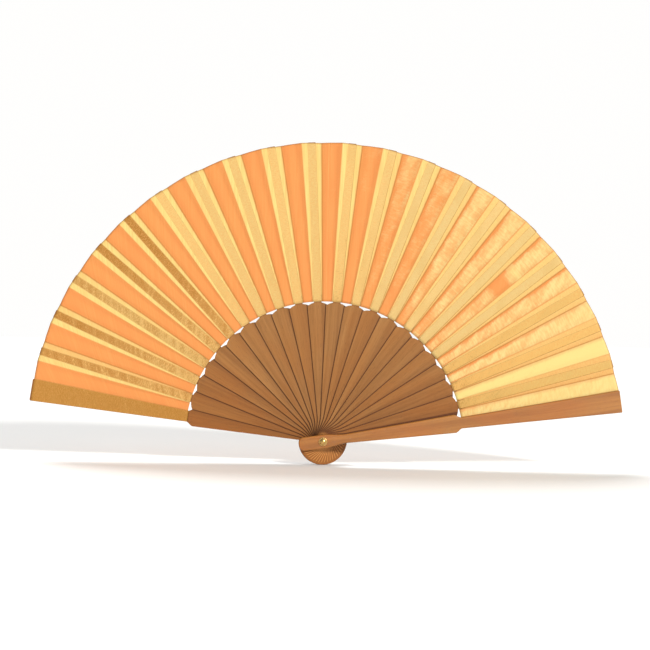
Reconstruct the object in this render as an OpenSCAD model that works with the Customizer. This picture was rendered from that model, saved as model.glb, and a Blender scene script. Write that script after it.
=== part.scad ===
// Folding fan: two outer guards and twenty inner ribs turn on one brass rivet
// and carry a pleated silk leaf. It is modelled open, standing in the XZ
// plane. The origin is the centre of the rivet, at the middle of the stack of
// sticks. +X is to the right, +Y points to the back, +Z is up.
// Stick 0 is the front guard, at the right; stick 21 is the rear guard, at the
// left. Each stick lies in front of its left neighbour.

/* [Fan] */
// Angle between the centre lines of the two open guards, degrees
open_angle = 162.6; // [120:0.1:165]
// How far the middle sticks stand off an even spread when open, degrees
stray = 1.2; // [0:0.1:1.4]
// Reach of a guard from the rivet to its tip
guard_reach = 194.2; // [194.1:0.1:200]
// Reach of the head end below the rivet
head_reach = 15.8; // [14.5:0.1:18]
// Distance from one stick to the next through the stack
stack_pitch = 0.8; // [0.8:0.05:1.2]

/* [Sticks] */
// Half width of a stick at its waist, just above the rivet
waist_half_w = 2.95; // [2.8:0.05:3.8]
// Height of the waist above the rivet
waist_z = 15; // [12:0.5:20]
// Half width of a rib at its shoulder
shoulder_half_w = 6.75; // [6.2:0.05:6.9]
// Half width of a guard at its shoulder
guard_shoulder_half_w = 5.95; // [5.4:0.05:6.6]
// Half width of the rounded head end
head_half_w = 4.45; // [4.2:0.05:5]
// Height of a rib's shoulder corners above the rivet
shoulder_z = 87.6; // [86.5:0.1:87.6]
// Height of a guard's shoulder corners above the rivet
guard_shoulder_z = 85.8; // [84:0.1:86]
// Length of a guard's S-shaped shoulder, from its corner up to the neck
guard_shoulder_run = 4.6; // [3:0.1:5]
// Radius of the scalloped top of a rib
scallop_r = 11.06; // [10.8:0.01:12]
// Thickness of a rib
rib_t = 0.7; // [0.6:0.05:0.7]
// Thickness of a guard at its grip
guard_t = 2.8; // [2.2:0.1:3.6]
// Depth that a guard's inner face is let back behind the leaf
guard_relief = 0.8; // [0.6:0.05:1]
// Half width of a guard at its neck, just above the shoulder
guard_neck_half_w = 3.65; // [3.4:0.05:4.2]
// Half width of a guard at its tip
guard_tip_half_w = 7.3; // [6.9:0.05:7.6]

/* [Slats] */
// Width of the thin slat that a rib runs out to behind the leaf
slat_w = 5; // [4:0.1:5.4]
// Thickness of a slat
slat_t = 0.28; // [0.2:0.01:0.28]
// Reach of a slat from the rivet
slat_reach = 194; // [190:0.1:194]

/* [Leaf] */
// Radius of the leaf's inner edge
leaf_inner_r = 90.5; // [90.5:0.1:91.5]
// Radius of the leaf's rim
leaf_outer_r = 193.6; // [193.2:0.1:193.7]
// Thickness of the silk
leaf_t = 0.14; // [0.1:0.01:0.14]

/* [Rivet] */
// Radius of the rivet's shank
pin_r = 1.5; // [1.2:0.1:1.8]
// Running clearance between the shank and each bore
bore_clear = 0.05; // [0.03:0.01:0.08]
// Radius of the washers
washer_r = 2.8; // [2.6:0.1:3.6]
// Thickness of a washer
washer_t = 0.4; // [0.3:0.05:0.6]
// Radius of the rivet's domed heads
dome_r = 2.3; // [2.1:0.1:2.7]
// Height of the domed heads
dome_h = 1.2; // [0.9:0.1:1.5]

/* [Hidden] */

last = 21;                         // index of the rear guard
pitch_deg = open_angle / last;     // angle from one stick to the next
half_panel = pitch_deg / 4;        // half angle of one leaf panel
bore_r = pin_r + bore_clear;
// The stack: ribs at whole steps of the pitch, guards outside them
rib_y = function(k) (k - last / 2) * stack_pitch;
outer_rib_y = (last / 2 - 1) * stack_pitch + rib_t / 2;
guard_in_y = outer_rib_y + 0.1;    // inner face of a guard's grip
guard_out_y = guard_in_y + guard_t;
washer_in_y = guard_out_y + 0.05;
washer_out_y = washer_in_y + washer_t;

guard_wood = [0.72, 0.45, 0.30];
rib_wood = [0.69, 0.47, 0.31];
silk_gold = [0.93, 0.75, 0.42];
silk_orange = [0.98, 0.62, 0.36];
brass = [0.80, 0.66, 0.30];

// Angle of stick k from straight up, positive to the right. The spread is
// even but for a slight stray of the middle sticks towards the front guard.
function lean(k) = (last / 2 - k) * pitch_deg + stray * sin(180 * pow((last - k) / last, 2.2));

// Points along an arc about c, from angle a0 to a1 in n steps
function arc(c, r, a0, a1, n) =
    [for (i = [0:n]) let (a = a0 + (a1 - a0) * i / n)
        [c[0] + r * cos(a), c[1] + r * sin(a)]];

// Right half of the head, from the lowest point up to the waist:
// the end arc about the rivet, a rounded corner, then straight to the rivet
corner_r = 3.4;
corner_x = head_half_w - corner_r;
corner_z = -sqrt(pow(head_reach - corner_r, 2) - pow(corner_x, 2));
corner_a = atan2(corner_z, corner_x);
head_right = concat(
    arc([0, 0], head_reach, -90, corner_a, 6),
    arc([corner_x, corner_z], corner_r, corner_a + 6, 0, 10),
    [[head_half_w, 0]],
    // narrowing in an S to the waist
    [for (i = [1:10]) let (t = i / 10, s = t * t * (3 - 2 * t))
        [head_half_w + (waist_half_w - head_half_w) * s, waist_z * t]]);

// Right half of a rib's scalloped top, from the shoulder corner to the crown
scallop_c = shoulder_z + 0.3 - sqrt(pow(scallop_r, 2) - pow(shoulder_half_w - 0.1, 2));
scallop_right = concat(
    [[shoulder_half_w, shoulder_z]],
    arc([0, scallop_c], scallop_r,
        acos((shoulder_half_w - 0.1) / scallop_r), 90, 12));

// Half width of a guard at height z above the rivet: a straight taper, an
// S-shaped shoulder down to the neck, then a slow flare to the tip
neck_z = guard_shoulder_z + guard_shoulder_run;
function guard_half(z) =
    z <= guard_shoulder_z
        ? waist_half_w + (guard_shoulder_half_w - waist_half_w) * (z - waist_z) / (guard_shoulder_z - waist_z)
    : z < neck_z
        ? let (t = (z - guard_shoulder_z) / (neck_z - guard_shoulder_z))
            guard_shoulder_half_w + (guard_neck_half_w - guard_shoulder_half_w) * t * t * (3 - 2 * t)
    : guard_neck_half_w + (guard_tip_half_w - guard_neck_half_w) * (z - neck_z) / (guard_reach - neck_z);

// Right half of a guard above its grip, with softened corners at the tip
tip_round = 0.9;
guard_right = concat(
    [for (i = [0:16]) let (z = guard_shoulder_z + (neck_z - guard_shoulder_z) * i / 16)
        [guard_half(z), z]],
    [[guard_half(guard_reach - tip_round), guard_reach - tip_round]],
    arc([guard_half(guard_reach) - tip_round, guard_reach - tip_round], tip_round, 12, 90, 6));

function mirrored(pts) = [for (i = [len(pts) - 1:-1:0]) if (pts[i][0] > 0.001) [-pts[i][0], pts[i][1]]];
function outline(right) = concat(right, mirrored(right));

// A flat plate with its outline in X and Z, from y0 to y1
module plate(pts, y0, y1) {
    translate([0, y1, 0]) rotate([90, 0, 0]) linear_extrude(height = y1 - y0) polygon(pts);
}

// A round hole or shaft along Y
module across(r, y0, y1, fn = 48) {
    translate([0, y1, 0]) rotate([90, 0, 0]) cylinder(r = r, h = y1 - y0, $fn = fn);
}

module rib_blank() {
    difference() {
        union() {
            plate(outline(concat(head_right, scallop_right)), -rib_t / 2, rib_t / 2);
            // slat: thin tail flush with the blade's back, under the leaf
            translate([-slat_w / 2, rib_t / 2 - slat_t, shoulder_z - 2])
                cube([slat_w, slat_t, slat_reach - shoulder_z + 2]);
        }
        across(bore_r, -2, 2);
    }
}

module inner_rib(k) {
    color(rib_wood)
        rotate([0, lean(k), 0]) translate([0, rib_y(k), 0]) rib_blank();
}

// Height above which a guard's inner face is let back
relief_z = leaf_inner_r - 0.9;

// One guard standing upright, its outer face towards -Y
module guard_blank() {
    difference() {
        plate(outline(concat(head_right, guard_right)), -guard_out_y, -guard_in_y);
        across(bore_r, -guard_out_y - 1, -guard_in_y + 1);
        // the inner face is let back where the folded leaf lies
        translate([-20, -guard_in_y - guard_relief, relief_z])
            cube([40, guard_relief + 1, 200]);
    }
}

module front_guard() {
    color(guard_wood) rotate([0, lean(0), 0]) guard_blank();
}

module rear_guard() {
    color(guard_wood) rotate([0, lean(last), 0]) mirror([0, 1, 0]) guard_blank();
}

// The flat leaf panel that is glued along stick k. On a rib it is one narrow
// sector; on a guard it is cut to the guard's own outline.
sector_right = concat(
    [for (i = [0:3]) let (a = half_panel * i / 3) [leaf_inner_r * sin(a), leaf_inner_r * cos(a)]],
    [for (i = [3:-1:0]) let (a = half_panel * i / 3) [leaf_outer_r * sin(a), leaf_outer_r * cos(a)]]);
edge_inset = 0.1;
guard_panel_right =
    [for (z = [relief_z + 0.2, relief_z + 0.6, neck_z, guard_reach - 0.5]) [guard_half(z) - edge_inset, z]];
function panel_right(k) = k == 0 || k == last ? guard_panel_right : sector_right;

// Half angle of panel k's side edge at distance r from the rivet
function edge_deg(k, r) =
    k == 0 || k == last ? asin((guard_half(r - 0.1) - edge_inset) / r) : half_panel;

function panel_y(k) = k == 0 ? -(guard_in_y + guard_relief) + leaf_t / 2
                    : k == last ? guard_in_y + guard_relief - leaf_t / 2
                    : rib_y(k);

module leaf_panel(k) {
    color(silk_gold)
        rotate([0, lean(k), 0])
            plate(outline(panel_right(k)), panel_y(k) - leaf_t / 2, panel_y(k) + leaf_t / 2);
}

// One orange fold: a thin bridge from panel k to its left neighbour k + 1
fold_gap = 0.02;
module leaf_fold(k) {
    y0 = panel_y(k);
    y1 = panel_y(k + 1);
    steps = 4;
    n = steps + 1;
    ring = function(r, dy) [for (i = [0:steps]) let (
            t = i / steps,
            a0 = lean(k) - edge_deg(k, r) - fold_gap,
            a1 = lean(k + 1) + edge_deg(k + 1, r) + fold_gap,
            a = a0 + (a1 - a0) * t)
        [r * sin(a), y0 + (y1 - y0) * t + dy, r * cos(a)]];
    pts = concat(ring(leaf_inner_r, -leaf_t / 2), ring(leaf_outer_r, -leaf_t / 2),
                 ring(leaf_inner_r, leaf_t / 2), ring(leaf_outer_r, leaf_t / 2));
    front = [for (i = [0:steps - 1]) each [[i, n + i + 1, n + i], [i, i + 1, n + i + 1]]];
    back = [for (i = [0:steps - 1]) each [[2 * n + i, 3 * n + i, 3 * n + i + 1], [2 * n + i, 3 * n + i + 1, 2 * n + i + 1]]];
    inner = [for (i = [0:steps - 1]) each [[i, 2 * n + i, 2 * n + i + 1], [i, 2 * n + i + 1, i + 1]]];
    rim = [for (i = [0:steps - 1]) each [[n + i, n + i + 1, 3 * n + i + 1], [n + i, 3 * n + i + 1, 3 * n + i]]];
    ends = [[0, n, 3 * n], [0, 3 * n, 2 * n],
            [steps, 3 * n + steps, n + steps], [steps, 2 * n + steps, 3 * n + steps]];
    polyhedron(points = pts, faces = concat(front, back, inner, rim, ends));
}

module leaf_folds_right() {
    color(silk_orange) for (k = [0:9]) leaf_fold(k);
}

module leaf_folds_left() {
    color(silk_orange) for (k = [10:20]) leaf_fold(k);
}

// Domed head with a short cylindrical edge, its flat side at y = 0 and its crown towards -Y
module dome() {
    ball = (dome_r * dome_r + (dome_h - 0.25) * (dome_h - 0.25)) / (2 * (dome_h - 0.25));
    rotate([90, 0, 0]) rotate_extrude($fn = 48)
        polygon(concat([[0, 0], [dome_r, 0], [dome_r, 0.25]],
            [for (i = [1:8]) let (a = asin(dome_r / ball) * (1 - i / 8))
                [ball * sin(a), 0.25 + ball * cos(a) - (ball - (dome_h - 0.25))]]));
}

module rivet_pin() {
    color(brass) union() {
        across(pin_r, -washer_out_y - 0.2, washer_out_y + 0.2);
        translate([0, -washer_out_y, 0]) dome();
        translate([0, washer_out_y, 0]) mirror([0, 1, 0]) dome();
    }
}

module washer(y0, y1) {
    difference() {
        across(washer_r, y0, y1);
        across(bore_r, y0 - 1, y1 + 1);
    }
}

module front_washer() { color(brass) washer(-washer_out_y, -washer_in_y); }
module rear_washer() { color(brass) washer(washer_in_y, washer_out_y); }

rivet_pin();
front_washer();
rear_washer();
front_guard();
inner_rib(1);  // rib_01
inner_rib(2);  // rib_02
inner_rib(3);  // rib_03
inner_rib(4);  // rib_04
inner_rib(5);  // rib_05
inner_rib(6);  // rib_06
inner_rib(7);  // rib_07
inner_rib(8);  // rib_08
inner_rib(9);  // rib_09
inner_rib(10);  // rib_10
inner_rib(11);  // rib_11
inner_rib(12);  // rib_12
inner_rib(13);  // rib_13
inner_rib(14);  // rib_14
inner_rib(15);  // rib_15
inner_rib(16);  // rib_16
inner_rib(17);  // rib_17
inner_rib(18);  // rib_18
inner_rib(19);  // rib_19
inner_rib(20);  // rib_20
rear_guard();
leaf_panel(0);  // leaf_panel_00
leaf_panel(1);  // leaf_panel_01
leaf_panel(2);  // leaf_panel_02
leaf_panel(3);  // leaf_panel_03
leaf_panel(4);  // leaf_panel_04
leaf_panel(5);  // leaf_panel_05
leaf_panel(6);  // leaf_panel_06
leaf_panel(7);  // leaf_panel_07
leaf_panel(8);  // leaf_panel_08
leaf_panel(9);  // leaf_panel_09
leaf_panel(10);  // leaf_panel_10
leaf_panel(11);  // leaf_panel_11
leaf_panel(12);  // leaf_panel_12
leaf_panel(13);  // leaf_panel_13
leaf_panel(14);  // leaf_panel_14
leaf_panel(15);  // leaf_panel_15
leaf_panel(16);  // leaf_panel_16
leaf_panel(17);  // leaf_panel_17
leaf_panel(18);  // leaf_panel_18
leaf_panel(19);  // leaf_panel_19
leaf_panel(20);  // leaf_panel_20
leaf_panel(21);  // leaf_panel_21
leaf_folds_right();
leaf_folds_left();
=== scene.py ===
# Looks for the folding fan: camera, light, wood, brass and the pleated silk leaf.
import math

import bmesh
import bpy
import numpy as np
from mathutils import Matrix, Vector


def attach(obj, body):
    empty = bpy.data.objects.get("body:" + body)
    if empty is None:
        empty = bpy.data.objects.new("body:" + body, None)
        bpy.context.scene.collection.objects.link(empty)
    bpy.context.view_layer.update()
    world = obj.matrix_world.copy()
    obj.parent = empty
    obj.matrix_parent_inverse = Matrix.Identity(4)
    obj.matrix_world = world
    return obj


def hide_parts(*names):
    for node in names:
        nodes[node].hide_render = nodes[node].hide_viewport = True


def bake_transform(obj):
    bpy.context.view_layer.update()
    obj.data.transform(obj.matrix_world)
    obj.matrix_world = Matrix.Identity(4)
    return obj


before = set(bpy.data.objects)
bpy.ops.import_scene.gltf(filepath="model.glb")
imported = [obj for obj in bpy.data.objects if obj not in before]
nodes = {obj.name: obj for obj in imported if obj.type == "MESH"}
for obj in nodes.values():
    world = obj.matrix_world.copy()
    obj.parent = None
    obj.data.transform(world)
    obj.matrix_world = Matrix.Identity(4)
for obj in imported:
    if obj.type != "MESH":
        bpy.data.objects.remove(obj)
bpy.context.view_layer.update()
scene = bpy.context.scene
MM = 0.001

# ---------------------------------------------------------------- the fan's own numbers
OPEN, STRAY = 162.6, 1.2
LAST = 21
PITCH = OPEN / LAST            # degrees from stick to stick
HALF = PITCH / 4               # half angle of a leaf panel
STACK = 0.8                    # mm from stick to stick through the stack
SLAT = 2.5                     # half width of a slat
R_IN = 90.5                    # leaf's inner edge
RIM_LOW, RIM_HIGH = 193.5, 193.95
GUARD_SHOULDER, GUARD_NECK, GUARD_REACH = 85.8, 90.4, 194.2
GUARD_W = 5.95, 3.65, 7.3      # half widths of a guard: shoulder, neck, tip
PANEL_Y = 8.78                 # the guards' own leaf panels lie at -+ this


def lean(k):
    return (LAST / 2 - k) * PITCH + STRAY * math.sin(math.pi * ((LAST - k) / LAST) ** 2.2)


def stick_y(k):
    if k == 0:
        return -PANEL_Y
    if k == LAST:
        return PANEL_Y
    return (k - LAST / 2) * STACK


def guard_half(z):
    z = np.asarray(z, float)
    t = np.clip((z - GUARD_SHOULDER) / (GUARD_NECK - GUARD_SHOULDER), 0, 1)
    sh, ne, ti = GUARD_W
    s = sh + (ne - sh) * t * t * (3 - 2 * t)
    return np.where(z < GUARD_NECK, s, ne + (ti - ne) * (z - GUARD_NECK) / (GUARD_REACH - GUARD_NECK))


def lin(r, g, b):
    """Linear colour of an 8-bit sRGB colour."""
    f = lambda c: c / 12.92 if c <= 0.04045 else ((c + 0.055) / 1.055) ** 2.4
    return (f(r / 255), f(g / 255), f(b / 255), 1.0)


def seen(r, g, b):
    """Base colour that comes out as this 8-bit colour on a sheet facing the camera in this light."""
    c = lin(r, g, b)
    return (c[0] * LIT[0], c[1] * LIT[1], c[2] * LIT[2], 1.0)


LIT = 0.91, 1.0, 1.04

# ---------------------------------------------------------------- camera
TARGET = Vector((0.0, 0.0, 75.2)) * MM
DIST, ELEV, ROLL = 1.2, 1.0, 1.0
cam_data = bpy.data.cameras.new("camera")
cam_data.sensor_width = 36.0
cam_data.lens = 1844.4 / 650.0 * 36.0
cam_data.clip_start, cam_data.clip_end = 0.05, 50.0
cam = bpy.data.objects.new("camera", cam_data)
scene.collection.objects.link(cam)
e = math.radians(ELEV)
cam.location = TARGET + Vector((0, -math.cos(e), math.sin(e))) * DIST
look = (TARGET - cam.location).to_track_quat("-Z", "Y").to_matrix().to_4x4()
cam.matrix_world = Matrix.Translation(cam.location) @ look @ Matrix.Rotation(math.radians(ROLL), 4, "Z")
scene.camera = cam

# ---------------------------------------------------------------- light
scene.view_settings.view_transform = "Standard"
world = bpy.data.worlds.new("studio")
scene.world = world
world.use_nodes = True
tree = world.node_tree
bg = tree.nodes["Background"]
bg.inputs["Color"].default_value = (1.0, 0.995, 0.985, 1)
# a white studio wall behind, but a softer fill on the object so that its steps keep their shadows
path = tree.nodes.new("ShaderNodeLightPath")
fill = tree.nodes.new("ShaderNodeMapRange")
fill.inputs["To Min"].default_value = 0.34
fill.inputs["To Max"].default_value = 1.0
tree.links.new(path.outputs["Is Camera Ray"], fill.inputs["Value"])
tree.links.new(fill.outputs["Result"], bg.inputs["Strength"])


def sun(name, towards, strength, angle, colour=(1, 1, 1)):
    d = bpy.data.lights.new(name, "SUN")
    d.energy = strength
    d.angle = math.radians(angle)
    d.color = colour
    o = bpy.data.objects.new(name, d)
    scene.collection.objects.link(o)
    o.rotation_euler = Vector(towards).to_track_quat("Z", "Y").to_euler()
    return o


sun("key", (0.66, -1.0, 0.58), 3.0, 8, (1.0, 0.985, 0.955))
sun("front", (0.15, -1.0, -0.12), 0.75, 35)
sun("back", (-0.35, 0.75, 1.15), 2.1, 30)


# ---------------------------------------------------------------- floor
floor_z = -15.85 * MM
m = bpy.data.meshes.new("floor")
bm = bmesh.new()
ring = [bm.verts.new((3.0 * math.cos(a), 3.0 * math.sin(a), floor_z)) for a in np.linspace(0, 2 * math.pi, 96, endpoint=False)]
bm.faces.new(ring)
bm.to_mesh(m)
bm.free()
floor = bpy.data.objects.new("floor", m)
scene.collection.objects.link(floor)


# ---------------------------------------------------------------- material helpers
class Net:
    """A small wrapper that makes node trees readable."""

    def __init__(self, name):
        self.mat = bpy.data.materials.new(name)
        self.mat.use_nodes = True
        self.t = self.mat.node_tree
        self.t.nodes.clear()
        self.out = self.t.nodes.new("ShaderNodeOutputMaterial")

    def node(self, kind, **props):
        n = self.t.nodes.new("ShaderNode" + kind)
        for k, v in props.items():
            setattr(n, k, v)
        return n

    def link(self, a, b):
        self.t.links.new(a, b)

    def put(self, socket, value):
        if hasattr(value, "is_linked") or isinstance(value, bpy.types.NodeSocket):
            self.link(value, socket)
        else:
            socket.default_value = value

    def attr(self, name):
        return self.node("Attribute", attribute_name=name, attribute_type="GEOMETRY").outputs["Fac"]

    def math(self, op, a, b=None, c=None, clamp=False):
        n = self.node("Math", operation=op, use_clamp=clamp)
        self.put(n.inputs[0], a)
        if b is not None:
            self.put(n.inputs[1], b)
        if c is not None:
            self.put(n.inputs[2], c)
        return n.outputs[0]

    def remap(self, value, a, b, c=0.0, d=1.0, smooth=True):
        n = self.node("MapRange", interpolation_type="SMOOTHSTEP" if smooth else "LINEAR", clamp=True)
        self.put(n.inputs["Value"], value)
        n.inputs["From Min"].default_value = a
        n.inputs["From Max"].default_value = b
        n.inputs["To Min"].default_value = c
        n.inputs["To Max"].default_value = d
        return n.outputs["Result"]

    def mix(self, fac, a, b, mode="MIX"):
        n = self.node("Mix", data_type="RGBA", blend_type=mode, clamp_factor=True)
        self.put(n.inputs[0], fac)
        self.put(n.inputs[6], a)
        self.put(n.inputs[7], b)
        return n.outputs[2]

    def noise(self, vector, scale, detail=3.0, rough=0.5, distort=0.0):
        n = self.node("TexNoise", noise_dimensions="3D")
        self.link(vector, n.inputs["Vector"])
        n.inputs["Scale"].default_value = scale
        n.inputs["Detail"].default_value = detail
        n.inputs["Roughness"].default_value = rough
        n.inputs["Distortion"].default_value = distort
        return n.outputs["Fac"]

    def mapping(self, vector, loc=(0, 0, 0), rot=(0, 0, 0), scale=(1, 1, 1)):
        n = self.node("Mapping", vector_type="POINT")
        self.link(vector, n.inputs["Vector"])
        n.inputs["Location"].default_value = loc
        n.inputs["Rotation"].default_value = rot
        n.inputs["Scale"].default_value = scale
        return n.outputs["Vector"]

    def combine(self, x, y, z):
        n = self.node("CombineXYZ")
        for s, v in zip(n.inputs, (x, y, z)):
            self.put(s, v)
        return n.outputs[0]

    def bump(self, height, distance, strength=1.0, normal=None):
        n = self.node("Bump")
        n.inputs["Strength"].default_value = strength
        n.inputs["Distance"].default_value = distance
        self.link(height, n.inputs["Height"])
        if normal is not None:
            self.link(normal, n.inputs["Normal"])
        return n.outputs["Normal"]


# ---------------------------------------------------------------- wood
def stick_half(n, z):
    """Half width in mm of a stick's outline at height z (metres) in its own frame."""
    head = n.remap(z, 0.0, 0.015, 4.45, 2.95)
    return n.math("ADD", head, n.remap(z, 0.015, 0.0876, 0.0, 3.8, smooth=False))


def wood(name, k, seed, dark, mid, light, warm, rough=0.46, gloss=0.30, edge=(0.92, 0.55), shade_darkening=(0.44, 0.25, 0.09), contact_shade=True):
    """Sandalwood with straight grain along stick k."""
    low = min(max((abs(lean(k)) - 42) / 34, 0), 1) * (1.45 if k > LAST / 2 else 1)     # the lowest ribs are a redder, darker wood
    dark, mid, light, warm = (tuple(c * (1 - low * f) for c, f in zip(t[:3], (0.08, 0.17, 0.30))) + (1,)
                              for t in (dark, mid, light, warm))
    n = Net(name)
    p = n.node("BsdfPrincipled")
    n.link(p.outputs[0], n.out.inputs[0])
    obj = n.node("TexCoord").outputs["Object"]
    frame_k = n.mapping(obj, rot=(0, -math.radians(lean(k)), 0))          # stick's own frame, metres
    own = n.mapping(frame_k, loc=(seed * 0.137, seed * 0.061, seed * 0.291))
    wobble = n.noise(n.mapping(own, scale=(60, 60, 14)), 1.0, 2.0)
    shifted = n.node("VectorMath", operation="MULTIPLY_ADD")
    n.link(n.combine(wobble, 0.0, 0.0), shifted.inputs[0])
    shifted.inputs[1].default_value = (0.004, 0, 0)
    n.link(own, shifted.inputs[2])
    s = shifted.outputs[0]
    bands = n.noise(n.mapping(s, scale=(420, 420, 9)), 1.0, 4.0, 0.55)      # growth rings cut flat: soft streaks
    fine = n.noise(n.mapping(s, scale=(2600, 2600, 70)), 1.0, 3.0, 0.6)     # fine fibre
    pores = n.noise(n.mapping(s, scale=(5200, 5200, 260)), 1.0, 1.0, 0.5)   # short dark pores
    tone = n.noise(n.mapping(own, scale=(45, 45, 22)), 1.0, 2.0)            # slow change of tone
    colour = n.mix(n.remap(bands, 0.34, 0.68), dark, light)
    colour = n.mix(0.42, mid, colour)
    colour = n.mix(n.math("MULTIPLY", n.remap(tone, 0.38, 0.66), 0.55), colour, warm)
    colour = n.mix(n.math("MULTIPLY", n.remap(fine, 0.45, 0.75), 0.30), colour, dark)
    pore = n.math("MULTIPLY", n.remap(pores, 0.62, 0.74), 0.42)
    colour = n.mix(pore, colour, tuple(c * 0.5 for c in dark[:3]) + (1,))
    # the dark colour of all the painted shade on the wood
    painted_shade_colour = tuple(c * e for c, e in zip(dark[:3], shade_darkening)) + (1,)
    facing = n.node("SeparateXYZ")
    n.link(n.node("TexCoord").outputs["Normal"], facing.inputs[0])
    if contact_shade:
        # painted shade where the neighbours' edges lie over this face: a dark line beside each, fading across the
        # planed face
        for other, sign in ((k - 1, 1.0), (k + 1, -1.0)):
            if not 0 <= other <= LAST:
                continue
            at = n.node("SeparateXYZ")
            n.link(n.mapping(obj, rot=(0, -math.radians(lean(other)), 0)), at.inputs[0])
            half = stick_half(n, at.outputs[2])
            away = n.math("SUBTRACT", n.math("MULTIPLY", at.outputs[0], -1000.0 * sign), half)   # mm clear of that edge
            face = n.remap(n.math("MULTIPLY", facing.outputs[1], sign), -0.5, -0.9)
            line = n.math("MULTIPLY", n.remap(away, 0.85, 0.35), 0.80)
            fade = n.math("MULTIPLY", n.remap(away, 6.5, 0.2, smooth=False), n.remap(at.outputs[2], 0.012, 0.035, 0.0, 0.20))
            line = n.math("MULTIPLY", line, n.remap(at.outputs[2], -0.002, 0.008, 0.55, 1.0))
            colour = n.mix(n.math("MULTIPLY", face, n.math("MAXIMUM", line, fade)), colour, painted_shade_colour)
        # and a thin line of painted shade down each long edge; round the head the wood is painted lighter and more
        # orange against the guard's shadow there, with painted highlights along the edges in place of that line
        me = n.node("SeparateXYZ")
        n.link(frame_k, me.inputs[0])
        inset = n.math("SUBTRACT", stick_half(n, me.outputs[2]), n.math("MULTIPLY", n.math("ABSOLUTE", me.outputs[0]), 1000.0))
        at_head = n.remap(me.outputs[2], 0.006, -0.001)
        colour = n.mix(n.math("MULTIPLY", at_head, 0.55), colour, lin(170, 104, 42))
        colour = n.mix(n.math("MULTIPLY", n.remap(inset, 0.55, 0.3), n.math("MULTIPLY", at_head, 0.8)), colour, lin(216, 150, 80))
        colour = n.mix(n.math("MULTIPLY", n.remap(inset, 0.4, 0.1), n.math("SUBTRACT", 0.12, n.math("MULTIPLY", at_head, 0.12))), colour, painted_shade_colour)
    # the sawn side faces are painted darker than the planed faces: painted shade for the dark lines between the sticks
    side = n.remap(n.math("ABSOLUTE", facing.outputs[1]), *edge)
    colour = n.mix(side, colour, painted_shade_colour)
    n.link(colour, p.inputs["Base Color"])
    n.link(n.remap(fine, 0.3, 0.7, rough - 0.06, rough + 0.1), p.inputs["Roughness"])
    p.inputs["Specular IOR Level"].default_value = gloss
    height = n.math("SUBTRACT", n.math("MULTIPLY", fine, 0.6), n.math("MULTIPLY", pore, 1.4))
    n.link(n.bump(height, 0.00006, 0.7), p.inputs["Normal"])
    return n.mat


RIB = dict(dark=lin(121, 76, 32), mid=lin(151, 102, 49), light=lin(164, 115, 62), warm=lin(151, 94, 37))
GUARD = dict(dark=lin(128, 78, 32), mid=lin(167, 112, 48), light=lin(187, 134, 70), warm=lin(171, 101, 34),
             edge=(0.5, 0.1), shade_darkening=(0.6, 0.55, 0.5), contact_shade=False, rough=0.36, gloss=0.5)


def solid_look(o, material, fine_bevel, front_round=None, dissolve=True):
    """Worn edges and clean shading for a carried-over CAD node, by modifiers only."""
    o.data.materials.clear()
    o.data.materials.append(material)
    for poly in o.data.polygons:
        poly.use_smooth = True
    w = o.modifiers.new("weld", "WELD")
    w.merge_threshold = 2e-6
    if dissolve:
        d = o.modifiers.new("flat", "DECIMATE")
        d.decimate_type = "DISSOLVE"
        d.angle_limit = math.radians(0.6)
    if front_round:
        width, y0 = front_round
        g = o.vertex_groups.new(name="outer_face")
        g.add([v.index for v in o.data.vertices if abs(v.co.y - y0) < 1e-5], 1.0, "REPLACE")
        b = o.modifiers.new("rounded", "BEVEL")
        b.limit_method = "VGROUP"
        b.vertex_group = "outer_face"
        b.width = width
        b.segments = 6
        b.use_clamp_overlap = False
    b = o.modifiers.new("worn", "BEVEL")
    b.limit_method = "ANGLE"
    b.angle_limit = math.radians(50)
    b.width = fine_bevel
    b.segments = 2
    n = o.modifiers.new("normals", "WEIGHTED_NORMAL")
    n.keep_sharp = False
    n.weight = 60


for k in range(1, LAST):
    name = f"rib_{k:02d}"
    solid_look(nodes[name], wood(f"rib_wood_{k:02d}", k, k * 1.7 + 3, **RIB), 0.16 * MM)
solid_look(nodes["front_guard"], wood("guard_wood_front", 0, 41.3, **GUARD), 0.12 * MM, (0.8 * MM, -10.85 * MM))
solid_look(nodes["rear_guard"], wood("guard_wood_rear", LAST, 57.9, **{**GUARD, **RIB, "contact_shade": True, "rough": 0.46, "gloss": 0.30}), 0.12 * MM, (0.8 * MM, 10.85 * MM))


# ---------------------------------------------------------------- brass
def brass(name):
    n = Net(name)
    p = n.node("BsdfPrincipled")
    n.link(p.outputs[0], n.out.inputs[0])
    obj = n.node("TexCoord").outputs["Object"]
    cloud = n.noise(obj, 900, 4.0)
    scratch = n.noise(n.mapping(obj, rot=(0.3, 0.5, 0.2), scale=(9000, 9000, 600)), 1.0, 2.0)
    colour = n.mix(n.remap(cloud, 0.35, 0.7), lin(222, 186, 118), lin(176, 138, 78))
    n.link(colour, p.inputs["Base Color"])
    p.inputs["Metallic"].default_value = 1.0
    n.link(n.remap(n.math("ADD", n.math("MULTIPLY", cloud, 0.6), n.math("MULTIPLY", scratch, 0.4)), 0.35, 0.65, 0.18, 0.4), p.inputs["Roughness"])
    n.link(n.bump(scratch, 0.00002, 0.5), p.inputs["Normal"])
    return n.mat


BRASS = brass("brass_metal")


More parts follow.
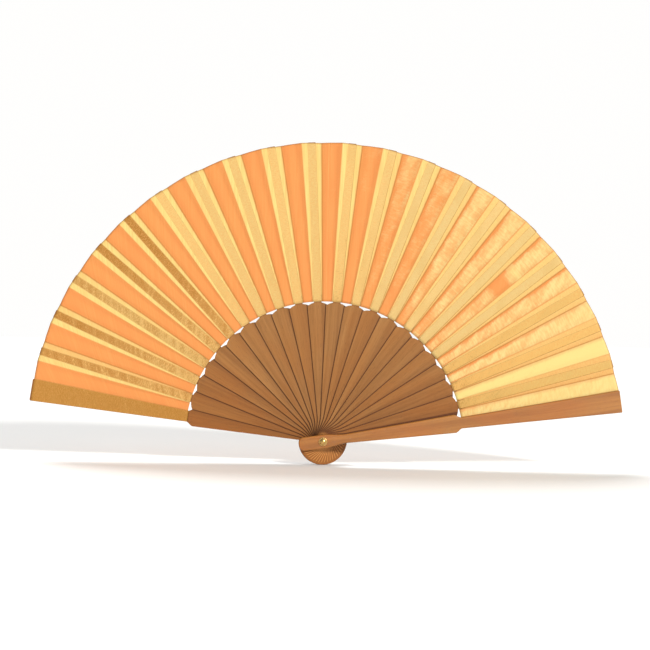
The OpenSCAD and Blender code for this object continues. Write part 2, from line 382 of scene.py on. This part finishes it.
def lathe(name, profile, body, stands_for):
    """A closed body of revolution about Y: profile is (radius, y) in mm from axis to axis, or a closed ring."""
    segs = 72
    bm = bmesh.new()
    closed = profile[0][0] > 1e-6
    rings = []
    for r, y in profile:
        if r < 1e-6:
            rings.append([bm.verts.new((0, y * MM, 0))])
        else:
            rings.append([bm.verts.new((r * MM * math.cos(a), y * MM, r * MM * math.sin(a)))
                          for a in np.linspace(0, 2 * math.pi, segs, endpoint=False)])
    pairs = list(zip(rings, rings[1:])) + ([(rings[-1], rings[0])] if closed else [])
    for a, b in pairs:
        for i in range(segs):
            j = (i + 1) % segs
            if len(a) == 1 and len(b) == 1:
                continue
            if len(a) == 1:
                bm.faces.new((a[0], b[j], b[i]))
            elif len(b) == 1:
                bm.faces.new((a[i], a[j], b[0]))
            else:
                bm.faces.new((a[i], a[j], b[j], b[i]))
    bmesh.ops.recalc_face_normals(bm, faces=bm.faces)
    mesh = bpy.data.meshes.new(name)
    bm.to_mesh(mesh)
    bm.free()
    for poly in mesh.polygons:
        poly.use_smooth = True
    o = bpy.data.objects.new(name, mesh)
    scene.collection.objects.link(o)
    o.data.materials.append(BRASS)
    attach(o, body)
    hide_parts(stands_for)
    return o


def dome_profile(y_flat, sign):
    """From the crown on the axis down to the flat underside at y_flat; sign points outwards."""
    pts = [(0.0, 1.2)]
    ball = (2.3 ** 2 + 0.95 ** 2) / (2 * 0.95)
    top = math.asin(2.3 / ball)
    for i in range(1, 15):
        a = top * i / 14
        pts.append((ball * math.sin(a), 0.25 + ball * math.cos(a) - (ball - 0.95)))
    pts[-1] = (2.27, 0.30)
    pts += [(2.3, 0.24), (2.3, 0.06), (2.26, 0.0), (1.5, 0.0)]
    return [(r, y_flat + sign * y) for r, y in pts]


front = dome_profile(-11.3, -1)
rear = dome_profile(11.3, 1)
lathe("rivet", front + rear[::-1], "rivet", "rivet_pin")
for name, sign in (("front_washer", -1), ("rear_washer", 1)):
    ys = (10.9, 11.3)
    prof = [(1.55, ys[0]), (2.7, ys[0]), (2.78, ys[0] + 0.05), (2.8, ys[0] + 0.12), (2.8, ys[1] - 0.12),
            (2.77, ys[1] - 0.04), (2.68, ys[1]), (1.6, ys[1]), (1.55, ys[1] - 0.05)]
    lathe(name + "_ring", [(r, sign * y) for r, y in prof], "rivet", name)


# ---------------------------------------------------------------- the pleated leaf
SLOPE = 0.17                    # how steeply a panel's free strip turns to its crease
THICK = 0.14


def strip_drop(k, side, r):
    """How far the crease of rib panel k stands off its slat's plane at radius r. side -1 is the left crease, +1 the right."""
    w = r * math.sin(math.radians(HALF))
    d = SLOPE * np.maximum(w - SLAT, 0)
    if (k == 1 and side < 0) or (k == LAST - 1 and side > 0):
        d = np.minimum(d, 0.55)
    return d


def panel_half(k, r):
    if k in (0, LAST):
        return guard_half(r - 0.1) - 0.08
    return r * math.sin(math.radians(HALF))


# How much painted shade of the slat behind shows through each panel, at the leaf's inner edge and at its rim, by stick
DULL_IN = {20: .55, 19: .45, 18: .45, 17: .50, 16: .62, 15: .22, 14: .14, 13: .12, 12: .12, 11: .16, 10: .30,
           9: .25, 8: .20, 7: .16, 6: .16, 5: .16, 4: .18, 3: .34, 2: .40, 1: .42}
DULL_OUT = {20: .75, 19: .92, 18: .60, 17: .95, 16: 1.0, 15: .06, 14: .06, 13: .06, 12: .08, 11: .08, 10: .10,
            9: .08, 8: .08, 7: .08, 6: .08, 5: .08, 4: .06, 3: .02, 2: -.05, 1: -.10}
# How much painted golden sheen lies over each orange fold, at its inner edge, middle and rim, by its right-hand stick
FOLD_SHEEN = {9: (.04, .08, .20), 8: (.20, .34, .56), 7: (.24, .36, .54), 6: (.46, .72, .86), 5: (.56, .70, .86),
        4: (.60, .66, .84), 3: (.72, .70, .92), 2: (.86, .96, 1.0), 1: (1.1, 1.12, 1.12), 0: (.97, 1.03, 1.04)}
# How orange the free strips of a panel are, right and left
STRIP = {20: (.55, .05), 19: (.25, 0), 18: (.15, 0), 14: (0, .2), 9: (.2, .1), 7: (.2, .3), 5: (.2, .3), 3: (.35, .3),
         2: (.5, .4), 1: (.85, .7)}


def wave(phi, r, seed):
    """Slow unevenness of the cloth, -1 to 1, a smooth function of its place."""
    a = np.radians(phi)
    return (np.sin(r * 0.11 + 9.0 * a + seed) * 0.5
            + np.sin(r * 0.23 - 17.0 * a + seed * 2.3) * 0.3
            + np.sin(r * 0.41 + 31.0 * a + seed * 4.1) * 0.2)


ROWS = 56
T = np.linspace(0, 1, ROWS)
# The fold in the middle turns not at all at this fraction of its width: the two halves meet there
SEAM = lean(10) / (lean(10) - lean(11))


def columns(k_first, k_last):
    """Columns from right to left. Each is a dict of arrays over the rows: phi, y, and the leaf's own coordinates."""
    cols = []

    def add(kind, k, f):
        # f: 0 at the right crease, 1 at the left crease
        if kind == "A":
            rim = RIM_LOW + (RIM_HIGH - RIM_LOW) * f
            r0 = R_IN
            if k in (0, LAST):
                r0, rim = 89.85, 193.7
            r = r0 + (rim - r0) * T
            w = panel_half(k, r)
            if isinstance(f, float) and f in EDGE:      # columns that follow the slat's edges
                x = np.full_like(r, EDGE[f])
                x = np.clip(x, -w * 0.985, w * 0.985)
            else:
                x = w * (1 - 2 * f)
            phi = lean(k) + np.degrees(np.arcsin(x / r))
            f_ = np.clip((np.abs(x) - SLAT) / np.maximum(w - SLAT, 1e-6), 0, 1)
            y = np.full_like(r, stick_y(k))
            if k not in (0, LAST):
                side = 1.0 if f < 0.5 else -1.0
                y = y + side * strip_drop(k, side, r) * f_
                y = y + 0.035 * wave(phi, r, k * 1.3) * f_
            if k in (0, LAST):
                slat, dull, tint = np.ones_like(r), np.full_like(r, 0.95), np.zeros_like(r)
            else:
                slat = np.clip((SLAT + 0.06 - np.abs(x)) / 0.12, 0, 1)
                dull = DULL_IN[k] + (DULL_OUT[k] - DULL_IN[k]) * T
                tint = np.full_like(r, STRIP.get(k, (0.0, 0.0))[0 if f < 0.5 else 1])
            far = np.full_like(r, 99.0)
            cols.append(dict(phi=phi, r=r, y=y, w=np.full_like(r, lean(k)), x=x, s=np.full_like(r, f), b=0.0,
                             slat=slat, dull=dull, tint=tint, rim=rim - r,
                             valley=far if k in (0, LAST) else w - x, ridge=far if k in (0, LAST) else w + x))
        else:
            rim = RIM_HIGH + (RIM_LOW - RIM_HIGH) * f
            r = R_IN + (rim - R_IN) * T
            wl, wr = panel_half(k, r), panel_half(k + 1, r)
            a0 = lean(k) - np.degrees(np.arcsin(wl / r))
            a1 = lean(k + 1) + np.degrees(np.arcsin(wr / r))
            phi = a0 + (a1 - a0) * f
            w = r * math.sin(math.radians(HALF))
            s1 = np.clip((w - SLAT) / (2 * w), 0.02, 0.45)
            y0 = stick_y(k) - (strip_drop(k, -1, r) if k > 0 else 0)
            y3 = stick_y(k + 1) + (strip_drop(k + 1, 1, r) if k + 1 < LAST else 0)
            y1 = (stick_y(k) + (0.60 if k == LAST - 1 else 0.49)) if k > 0 else np.full_like(r, -8.45)
            y2 = (stick_y(k + 1) - 0.18) if k + 1 < LAST else np.full_like(r, 8.42)
            y = np.where(f < s1, y0 + (y1 - y0) * f / s1,
                         np.where(f > 1 - s1, y2 + (y3 - y2) * (f - 1 + s1) / s1,
                                  y1 + (y2 - y1) * (f - s1) / (1 - 2 * s1)))
            y = y + 0.03 * wave(phi, r, k * 2.1 + 5) * np.sin(math.pi * f)
            x = -w + 2 * w * f
            g = FOLD_SHEEN.get(k, (0.0, 0.0, 0.0))
            tint = np.interp(T, (0, 0.5, 1), g)
            if k == 4:                                   # a patch with no painted sheen, with a brighter patch of painted sheen beside it
                tint = tint - 0.75 * np.exp(-((r - 152.5) / 6.0) ** 4) + 0.3 * np.exp(-((r - 165) / 6.0) ** 2)
            cols.append(dict(phi=phi, r=r, y=y, w=np.full_like(r, lean(k) + (lean(k + 1) - lean(k)) * f), x=x,
                             s=np.full_like(r, f), b=1.0, slat=np.zeros_like(r), dull=np.zeros_like(r),
                             tint=tint, rim=rim - r, valley=w - x, ridge=w + x))

    for k in range(k_first, k_last + 1):
        for f in A_STEPS:
            add("A", k, f)
        if k < LAST:
            for f in (sorted(B_STEPS + [SEAM]) if k == 10 else B_STEPS):
                add("B", k, f)
    return cols


# Fractions across a panel from its right crease to its left one. Those in EDGE follow a slat's edge instead.
EDGE = {0.201: 2.62, 0.202: 2.5, 0.203: 2.3, 0.797: -2.3, 0.798: -2.5, 0.799: -2.62}
A_STEPS = [0.0, 0.012, 0.1, 0.201, 0.202, 0.203, 0.4, 0.6, 0.797, 0.798, 0.799, 0.9, 0.988, 1.0]
B_STEPS = [0.014, 0.08, 0.16, 0.24, 0.32, 0.41, 0.5, 0.58, 0.67, 0.76, 0.84, 0.92, 0.986]


def leaf_half(name, side):
    cols = columns(0, 10) if side > 0 else columns(10, LAST)
    seam = next(i for i, c in enumerate(cols) if c["b"] == 1.0 and c["s"][0] == SEAM)
    cols = cols[:seam + 1] if side > 0 else cols[seam:]
    n = len(cols)
    phi = np.array([c["phi"] for c in cols])
    r = np.array([c["r"] for c in cols])
    y = np.array([c["y"] for c in cols])
    a = np.radians(phi)
    X, Z = r * np.sin(a), r * np.cos(a)
    # surface normals for the offset to the two faces
    P = np.stack([X, y, Z], -1)
    du = np.gradient(P, axis=0)
    dv = np.gradient(P, axis=1)
    nrm = np.cross(du, dv)
    nrm /= np.linalg.norm(nrm, axis=-1, keepdims=True)
    nrm *= np.where(nrm[..., 1:2] > 0, -1, 1)           # towards the viewer, -Y
    layers = [P + nrm * THICK / 2, P - nrm * THICK / 2]
    verts = np.concatenate([l.reshape(-1, 3) for l in layers]) * MM
    count = n * ROWS
    idx = np.arange(count).reshape(n, ROWS)
    faces = []
    for i in range(n - 1):
        for j in range(ROWS - 1):
            q = (idx[i, j], idx[i, j + 1], idx[i + 1, j + 1], idx[i + 1, j])
            faces.append(q)
            faces.append(tuple(v + count for v in reversed(q)))
    rim_faces = []
    for i in range(n - 1):
        rim_faces.append((idx[i, ROWS - 1], idx[i, ROWS - 1] + count, idx[i + 1, ROWS - 1] + count, idx[i + 1, ROWS - 1]))
        rim_faces.append((idx[i + 1, 0], idx[i + 1, 0] + count, idx[i, 0] + count, idx[i, 0]))
    for j in range(ROWS - 1):
        rim_faces.append((idx[0, j], idx[0, j] + count, idx[0, j + 1] + count, idx[0, j + 1]))
        rim_faces.append((idx[n - 1, j + 1], idx[n - 1, j + 1] + count, idx[n - 1, j] + count, idx[n - 1, j]))
    mesh = bpy.data.meshes.new(name)
    mesh.from_pydata([tuple(v) for v in verts], [], [tuple(int(v) for v in f) for f in faces + rim_faces])
    bm = bmesh.new()
    bm.from_mesh(mesh)
    bmesh.ops.recalc_face_normals(bm, faces=bm.faces)
    bm.to_mesh(mesh)
    bm.free()
    smooth = np.zeros(len(mesh.polygons), bool)
    smooth[:len(faces)] = True
    mesh.polygons.foreach_set("use_smooth", smooth)
    for key, val in (("leaf_x", "x"), ("leaf_r", "r"), ("leaf_phi", "phi"), ("leaf_slat", "slat"), ("leaf_s", "s"),
                     ("leaf_dull", "dull"), ("leaf_tint", "tint"), ("leaf_rim", "rim"),
                     ("leaf_valley", "valley"), ("leaf_ridge", "ridge")):
        arr = np.array([c[val] for c in cols]).reshape(-1)
        at = mesh.attributes.new(key, "FLOAT", "POINT")
        at.data.foreach_set("value", np.concatenate([arr, arr]).astype(np.float32))
    arr = np.array([np.full(ROWS, c["b"]) for c in cols]).reshape(-1)
    at = mesh.attributes.new("leaf_fold", "FLOAT", "POINT")
    at.data.foreach_set("value", np.concatenate([arr, arr]).astype(np.float32))
    o = bpy.data.objects.new(name, mesh)
    scene.collection.objects.link(o)
    weight = np.clip(np.array([c["w"] for c in cols]).reshape(-1) / (lean(0) if side > 0 else lean(LAST)), 0, 1)
    weight = np.concatenate([weight, weight]).astype(np.float32)
    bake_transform(o)
    mid = np.linalg.norm(np.cross(P[1:, :-1] - P[:-1, :-1], P[:-1, 1:] - P[:-1, :-1]), axis=-1)
    mid2 = np.linalg.norm(np.cross(P[1:, 1:] - P[1:, :-1], P[1:, 1:] - P[:-1, 1:]), axis=-1)
    return o, float((mid + mid2).sum() / 2) * 1e-6


def silk(name):
    """Orange silk with a gold print on the panels and bare orange cloth in the folds; a golden sheen is painted over
    the folds, and shade is painted behind the slats and into the creases.
    """
    n = Net(name)
    x, r, phi = n.attr("leaf_x"), n.attr("leaf_r"), n.attr("leaf_phi")
    fold, slat = n.attr("leaf_fold"), n.attr("leaf_slat")
    dullness, tint, rim = n.attr("leaf_dull"), n.attr("leaf_tint"), n.attr("leaf_rim")
    valley, ridge = n.attr("leaf_valley"), n.attr("leaf_ridge")          # mm from the panel's two creases
    plain = n.math("SUBTRACT", 1.0, fold)
    # the cloth's own coordinates, in mm: round the fan and out along the ribs
    across = n.math("MULTIPLY", n.math("MULTIPLY", phi, math.pi / 180), r)
    cloth = n.combine(across, r, n.math("MULTIPLY", fold, 7.0))
    slant = n.mapping(cloth, rot=(0, 0, math.radians(32)))
    patch = n.noise(n.mapping(slant, scale=(0.20, 0.06, 1)), 1.0, 3.0, 0.6)         # broad clouds in the print
    streak = n.noise(n.mapping(cloth, scale=(0.9, 0.03, 1)), 1.0, 3.0, 0.6)         # streaks along the ribs
    fleck = n.noise(n.mapping(cloth, rot=(0, 0, math.radians(12)), scale=(0.55, 1.7, 1)), 1.0, 3.0, 0.75)   # short flecks across
    brush = n.noise(n.mapping(cloth, rot=(0, 0, math.radians(48)), scale=(0.16, 0.8, 1)), 1.0, 3.0, 0.65)    # slanting brush marks
    grainy = n.noise(n.mapping(cloth, scale=(3.2, 3.8, 1)), 1.0, 2.0, 0.6)
    cloudy = n.noise(n.mapping(cloth, scale=(0.055, 0.03, 1)), 1.0, 2.0)

    def centred(v, amount):
        return n.math("MULTIPLY", n.math("SUBTRACT", v, 0.5), amount)

    # folds: orange cloth, with a painted golden sheen over them that gives way to bare orange near the creases
    orange = n.mix(n.remap(streak, 0.35, 0.7), seen(249, 163, 91), seen(252, 170, 98))
    orange = n.mix(n.math("MULTIPLY", n.remap(cloudy, 0.35, 0.65), 0.5), orange, seen(252, 159, 90))
    orange = n.mix(n.math("MULTIPLY", n.remap(fleck, 0.55, 0.75), 0.4), orange, seen(246, 176, 98))
    fold_sheen_colour = n.mix(n.remap(n.math("ADD", brush, centred(patch, 0.8)), 0.30, 0.70), seen(250, 207, 134), seen(253, 225, 154))
    fold_sheen_colour = n.mix(n.remap(tint, 0.97, 1.1), fold_sheen_colour, seen(253, 229, 150))
    keep = n.math("MULTIPLY", n.remap(n.math("ADD", ridge, centred(fleck, 1.6)), 0.1, 1.0),
                  n.remap(n.math("ADD", valley, n.math("ADD", centred(fleck, 3.2), centred(patch, 4.0))), 0.8, 2.6))
    whole = n.remap(tint, 0.93, 1.0, 0.0, 0.75)         # the folds with the most painted sheen lose their orange edges too
    keep = n.math("ADD", n.math("MULTIPLY", keep, n.math("SUBTRACT", 1.0, whole)), whole)
    amount = n.math("ADD", tint, n.math("ADD", centred(patch, 1.05), n.math("ADD", centred(fleck, 0.65), centred(brush, 0.45))))
    amount = n.math("MULTIPLY", n.remap(amount, 0.12, 1.04), keep)
    fold_colour = n.mix(n.math("MULTIPLY", amount, n.remap(tint, 0.0, 0.45, 0.50, 0.94)), orange, fold_sheen_colour)

    # panels: bright gold, duller where the slat behind takes the light away
    bright = n.mix(n.remap(streak, 0.3, 0.7), seen(250, 205, 125), seen(253, 221, 141))
    warm_strip = n.mix(n.remap(fleck, 0.3, 0.7), seen(247, 174, 102), seen(250, 196, 122))
    bright = n.mix(tint, bright, warm_strip)
    # towards the right of the fan the strips and slat bands change colour with angle: painted shade on the strips,
    # which face away from the key light there, and painted sheen on the slat bands
    right_gold = n.mix(n.remap(fleck, 0.35, 0.65), seen(247, 195, 118), seen(251, 211, 135))
    right_gold = n.mix(n.remap(phi, 54.0, 72.0, 0.0, 0.7), right_gold, n.mix(n.remap(fleck, 0.35, 0.65), seen(243, 178, 104), seen(249, 198, 122)))
    bright = n.mix(n.remap(phi, 5.0, 40.0, 0.0, 0.75), bright, right_gold)
    mid_gold = n.mix(n.remap(fleck, 0.36, 0.64), seen(250, 192, 113), seen(254, 211, 134))
    mid_right = n.mix(n.remap(phi, 50.0, 58.0), n.mix(n.remap(fleck, 0.35, 0.65), seen(250, 203, 130), seen(253, 217, 145)),
                      n.mix(n.remap(fleck, 0.35, 0.65), seen(250, 186, 102), seen(255, 204, 120)))
    mid_gold = n.mix(n.remap(phi, 0.0, 30.0, 0.0, 0.8), mid_gold, mid_right)
    mid_gold = n.mix(n.math("MULTIPLY", n.remap(cloudy, 0.5, 0.7), 0.30), mid_gold, seen(238, 190, 112))
    # painted shade: the slat behind keeps the light from shining through the silk here
    dull = n.mix(n.remap(n.math("ADD", grainy, centred(fleck, 1.5)), 0.34, 0.68), seen(186, 117, 42), seen(228, 162, 86))
    dull = n.mix(n.remap(valley, 50.0, 60.0, 0.0, 0.45), dull, seen(207, 144, 64))
    speck = n.math("ADD", dullness, centred(fleck, 2.3))
    speck = n.math("ADD", speck, centred(patch, 0.8))
    slat_colour = n.mix(n.remap(speck, 0.28, 0.80), mid_gold, dull)
    panel = n.mix(slat, bright, slat_colour)
    colour = n.mix(fold, panel, fold_colour)
    # tarnished olive flecks in the print
    olive = n.math("MULTIPLY", n.math("MULTIPLY", n.remap(n.math("ADD", fleck, centred(grainy, 0.5)), 0.64, 0.74), plain), 0.40)
    colour = n.mix(olive, colour, seen(205, 172, 92))
    # painted shade: dark lines down the valleys and a soft darkening into them; fainter lines on the ridges and the
    # slat's edges, and the raw edge at the rim
    valley_shade = n.math("MULTIPLY", n.remap(n.math("ADD", valley, centred(streak, 0.5)), 0.75, 0.10), 0.62)
    colour = n.mix(valley_shade, colour, seen(198, 122, 54))
    soft = n.math("MULTIPLY", n.remap(valley, 3.2, 0.0, smooth=False), 0.10)
    colour = n.mix(soft, colour, seen(220, 130, 60))
    crown = n.math("MULTIPLY", n.remap(ridge, 0.5, 0.0), 0.35)
    colour = n.mix(crown, colour, seen(228, 150, 78))
    line = n.math("MULTIPLY", n.remap(n.math("ABSOLUTE", n.math("SUBTRACT", n.math("ABSOLUTE", x), 2.66)), 0.30, 0.02),
                  n.math("MULTIPLY", plain, n.remap(valley, 60.0, 50.0)))
    right_side = n.math("MULTIPLY", n.remap(x, 0.0, 1.0), n.remap(phi, -12.0, 14.0, 0.0, 0.34))
    colour = n.mix(n.math("MULTIPLY", line, n.math("ADD", right_side, n.remap(streak, 0.3, 0.7, 0.15, 0.62))), colour, seen(184, 126, 56))
    hem = n.math("MULTIPLY", n.remap(rim, 0.75, 0.15), n.remap(grainy, 0.2, 0.7, 0.35, 0.75))
    colour = n.mix(hem, colour, lin(178, 120, 64))
    colour = n.mix(n.math("MULTIPLY", n.remap(grainy, 0.5, 0.8), 0.12), colour, lin(186, 120, 52))

    # weave: warp along the ribs, weft round the fan, as a faint tone from thread to thread
    def threads(v, pitch):
        return n.math("SINE", n.math("MULTIPLY", v, 2 * math.pi / pitch))
    weave = n.math("MULTIPLY", threads(across, 0.42), threads(r, 0.36))
    colour = n.mix(n.remap(weave, -1.0, 1.0, 0.16, 0.0, smooth=False), colour, lin(150, 92, 40))

    p = n.node("BsdfPrincipled")
    n.link(colour, p.inputs["Base Color"])
    n.link(n.remap(grainy, 0.3, 0.7, 0.44, 0.60), p.inputs["Roughness"])
    p.inputs["Specular IOR Level"].default_value = 0.30
    p.inputs["Specular Tint"].default_value = (1.0, 0.86, 0.55, 1)
    p.inputs["Sheen Weight"].default_value = 0.10
    p.inputs["Sheen Roughness"].default_value = 0.4
    p.inputs["Sheen Tint"].default_value = (1.0, 0.9, 0.65, 1)
    height = n.math("ADD", n.math("MULTIPLY", fleck, 1.1), n.math("MULTIPLY", streak, 1.4))
    n.link(n.bump(height, 0.00010, 0.5), p.inputs["Normal"])
    tr = n.node("BsdfTranslucent")
    n.link(colour, tr.inputs["Color"])
    mix = n.node("MixShader")
    mix.inputs[0].default_value = 0.30
    n.link(p.outputs[0], mix.inputs[1])
    n.link(tr.outputs[0], mix.inputs[2])
    n.link(mix.outputs[0], n.out.inputs[0])
    return n.mat


SILK = silk("gold_and_orange_silk")
for name, side, ks in (("leaf_right", 1, range(0, 11)), ("leaf_left", -1, range(11, 22))):
    o, flat_area = leaf_half(name, side)
    o.data.materials.append(SILK)
    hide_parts(*[f"leaf_panel_{k:02d}" for k in ks], "leaf_folds_right" if side > 0 else "leaf_folds_left")
    print("LEAF", name, len(o.data.vertices), "area m2", round(flat_area, 5))


# ---------------------------------------------------------------- floor material
n = Net("pale_floor")
p = n.node("BsdfPrincipled")
p.inputs["Base Color"].default_value = (0.93, 0.93, 0.92, 1)
p.inputs["Roughness"].default_value = 0.75
p.inputs["Specular IOR Level"].default_value = 0.2
n.link(p.outputs[0], n.out.inputs[0])
floor.data.materials.append(n.mat)
